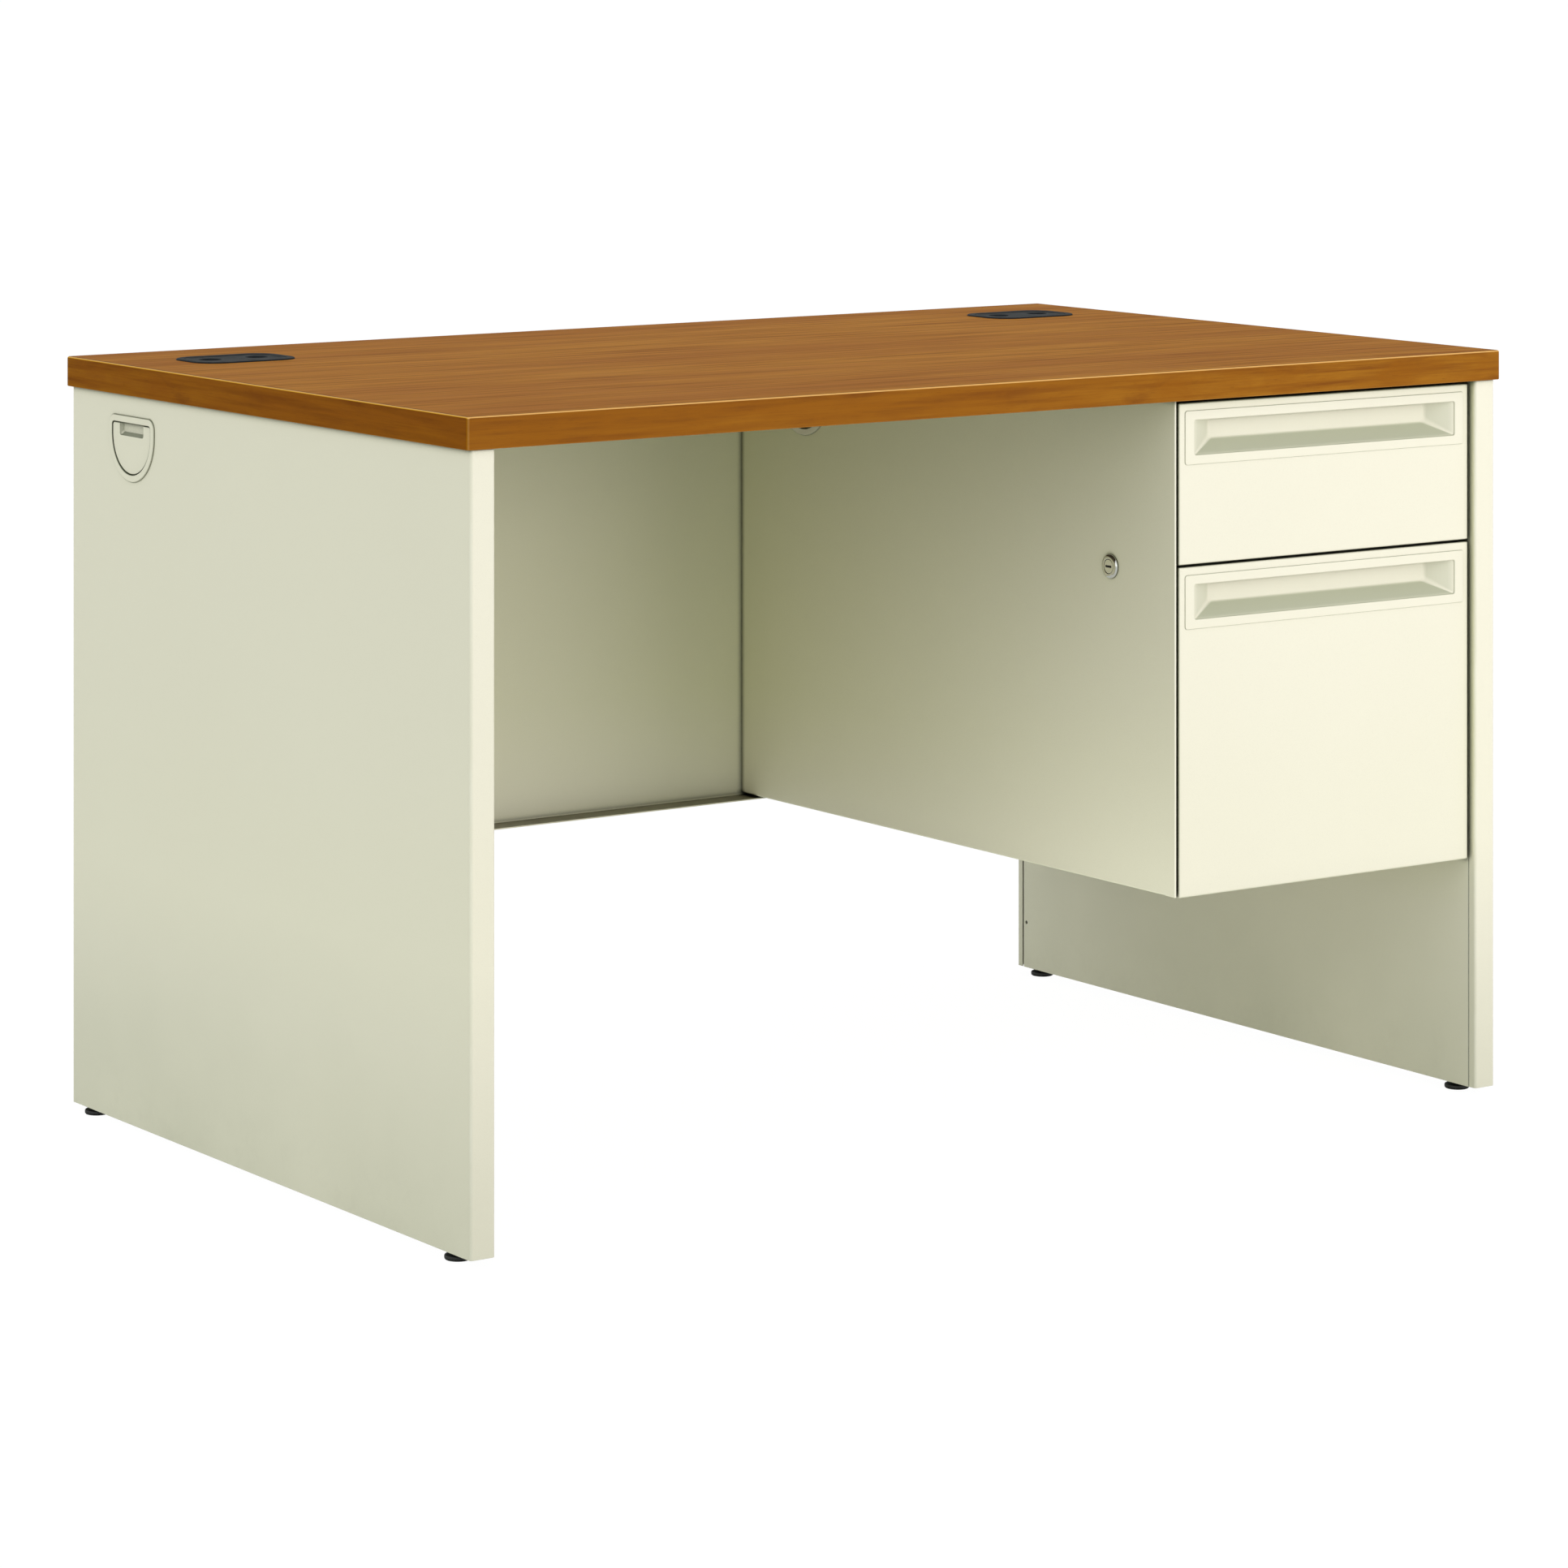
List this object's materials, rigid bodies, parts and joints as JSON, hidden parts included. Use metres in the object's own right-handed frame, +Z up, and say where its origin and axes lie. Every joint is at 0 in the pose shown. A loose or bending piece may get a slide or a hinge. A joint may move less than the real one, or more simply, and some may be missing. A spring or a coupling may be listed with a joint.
{
  "type": "teacher desk",
  "caption": "Single-pedestal teacher desk: wood-look worktop on hollow steel end panels, modesty panel, and a lockable hanging pedestal with a box drawer over a file drawer.",
  "frame": {"origin": "on the floor, under the centre of the worktop", "axes": "+X along the worktop's length to the sitter's right, +Y from the sitter to the modesty panel, +Z up"},
  "size_m": [1.2192, 0.762, 0.7507],
  "materials": {
    "worktop_laminate": "satin wood-look laminate, grain along the length",
    "worktop_edge_band": "satin wood-look edge band",
    "worktop_core": "raw particleboard",
    "worktop_backing_sheet": "brown backing sheet",
    "grommet_black": "fine-textured moulded black",
    "putty_paint": "satin putty powder coat on steel",
    "putty_plastic": "satin moulded putty plastic",
    "drawer_pull_plastic": "satin moulded putty plastic",
    "glide_plastic": "black moulded foot on a steel stud",
    "lock_chrome": "polished chrome plate",
    "zinc_steel": "bright zinc-plated steel",
    "tray_plastic": "dark grey moulded plastic"
  },
  "bodies": {
    "desk": {"worktop_laminate": "worktop_laminate", "worktop_edge_band": "worktop_edge_band", "worktop_core": "worktop_core", "worktop_backing_sheet": "worktop_backing_sheet", "grommet_sleeve_left": "grommet_black", "grommet_sleeve_right": "grommet_black", "left_end_outer_skin": "putty_paint", "left_end_inner_skin": "putty_paint", "left_end_top_channel": "zinc_steel", "left_end_bottom_channel": "zinc_steel", "cable_bezel_left": "putty_plastic", "right_end_outer_skin": "putty_paint", "right_end_inner_skin": "putty_paint", "right_end_top_channel": "zinc_steel", "right_end_bottom_channel": "zinc_steel", "cable_bezel_right": "putty_plastic", "pedestal_cable_ring": "putty_plastic", "modesty_panel": "putty_paint", "pedestal_left_side": "putty_paint", "pedestal_right_side": "putty_paint", "pedestal_back": "putty_paint", "pedestal_bottom": "putty_paint", "pedestal_top_rail": "putty_paint", "pedestal_mid_rail": "putty_paint", "box_slide_left_fixed": "zinc_steel", "box_slide_right_fixed": "zinc_steel", "file_slide_left_fixed": "zinc_steel", "file_slide_right_fixed": "zinc_steel", "lock_housing": "lock_chrome", "lock_nut": "zinc_steel"},
    "box_slide_middles": {"box_slide_left_middle": "zinc_steel", "box_slide_right_middle": "zinc_steel"},
    "box_drawer": {"box_drawer_front": "putty_paint", "box_drawer_pull": "drawer_pull_plastic", "box_drawer_body": "putty_paint", "box_drawer_divider": "zinc_steel", "box_slide_left_inner": "zinc_steel", "box_slide_right_inner": "zinc_steel"},
    "pencil_tray": {"box_drawer_pencil_tray": "tray_plastic"},
    "file_slide_middles": {"file_slide_left_middle": "zinc_steel", "file_slide_right_middle": "zinc_steel"},
    "file_drawer": {"file_drawer_front": "putty_paint", "file_drawer_pull": "drawer_pull_plastic", "file_drawer_body": "putty_paint", "file_drawer_rail_left": "zinc_steel", "file_drawer_rail_right": "zinc_steel", "file_slide_left_inner": "zinc_steel", "file_slide_right_inner": "zinc_steel"},
    "lock_plug_and_cam": {"lock_plug": "lock_chrome", "lock_cam": "zinc_steel"},
    "lock_bar": {"lock_bar": "zinc_steel"},
    "grommet_cap_left": {"grommet_cap_left": "grommet_black"},
    "grommet_cap_right": {"grommet_cap_right": "grommet_black"},
    "cable_door_left": {"cable_door_left": "putty_plastic"},
    "cable_door_right": {"cable_door_right": "putty_plastic"},
    "glide_left_front": {"levelling_glide_left_front": "glide_plastic"},
    "glide_left_rear": {"levelling_glide_left_rear": "glide_plastic"},
    "glide_right_front": {"levelling_glide_right_front": "glide_plastic"},
    "glide_right_rear": {"levelling_glide_right_rear": "glide_plastic"}
  },
  "joints": [
    {"name": "box_drawer_slide", "type": "slide", "parent": "desk", "child": "box_drawer", "axis": [0, -1, 0], "range_m": [0, 0.4]},
    {"name": "box_slide_middles_slide", "type": "slide", "parent": "desk", "child": "box_slide_middles", "axis": [0, -1, 0], "range_m": [0, 0.2]},
    {"name": "file_drawer_slide", "type": "slide", "parent": "desk", "child": "file_drawer", "axis": [0, -1, 0], "range_m": [0, 0.5]},
    {"name": "file_slide_middles_slide", "type": "slide", "parent": "desk", "child": "file_slide_middles", "axis": [0, -1, 0], "range_m": [0, 0.25]},
    {"name": "pencil_tray_slide", "type": "slide", "parent": "box_drawer", "child": "pencil_tray", "axis": [0, 1, 0], "range_m": [0, 0.24]},
    {"name": "lock_turn", "type": "hinge", "parent": "desk", "child": "lock_plug_and_cam", "pos_m": [0.1967, -0.2705, 0.5496], "axis": [-1, 0, 0], "range_deg": [0, 90]},
    {"name": "lock_bar_slide", "type": "slide", "parent": "desk", "child": "lock_bar", "axis": [0, 0, -1], "range_m": [0, 0.02269]},
    {"name": "cable_door_left_hinge", "type": "hinge", "parent": "desk", "child": "cable_door_left", "pos_m": [-0.6026, 0.252, 0.6874], "axis": [0, 1, 0], "range_deg": [0, 90]},
    {"name": "cable_door_right_hinge", "type": "hinge", "parent": "desk", "child": "cable_door_right", "pos_m": [0.6026, 0.252, 0.6874], "axis": [0, -1, 0], "range_deg": [0, 90]},
    {"name": "grommet_cap_left_lift", "type": "slide", "parent": "desk", "child": "grommet_cap_left", "axis": [0, 0, 1], "range_m": [0, 0.04]},
    {"name": "grommet_cap_right_lift", "type": "slide", "parent": "desk", "child": "grommet_cap_right", "axis": [0, 0, 1], "range_m": [0, 0.04]},
    {"name": "glide_left_front_height", "type": "slide", "parent": "desk", "child": "glide_left_front", "axis": [0, 0, 1], "range_m": [-0.015, 0]},
    {"name": "glide_left_rear_height", "type": "slide", "parent": "desk", "child": "glide_left_rear", "axis": [0, 0, 1], "range_m": [-0.015, 0]},
    {"name": "glide_right_front_height", "type": "slide", "parent": "desk", "child": "glide_right_front", "axis": [0, 0, 1], "range_m": [-0.015, 0]},
    {"name": "glide_right_rear_height", "type": "slide", "parent": "desk", "child": "glide_right_rear", "axis": [0, 0, 1], "range_m": [-0.015, 0]}
  ],
  "couplings": [
    {"joint": "box_slide_middles_slide", "follows": "box_drawer_slide", "ratio": 0.5},
    {"joint": "file_slide_middles_slide", "follows": "file_drawer_slide", "ratio": 0.5},
    {"joint": "lock_turn", "follows": "lock_bar_slide", "rad_per_m": 69.2}
  ]
}
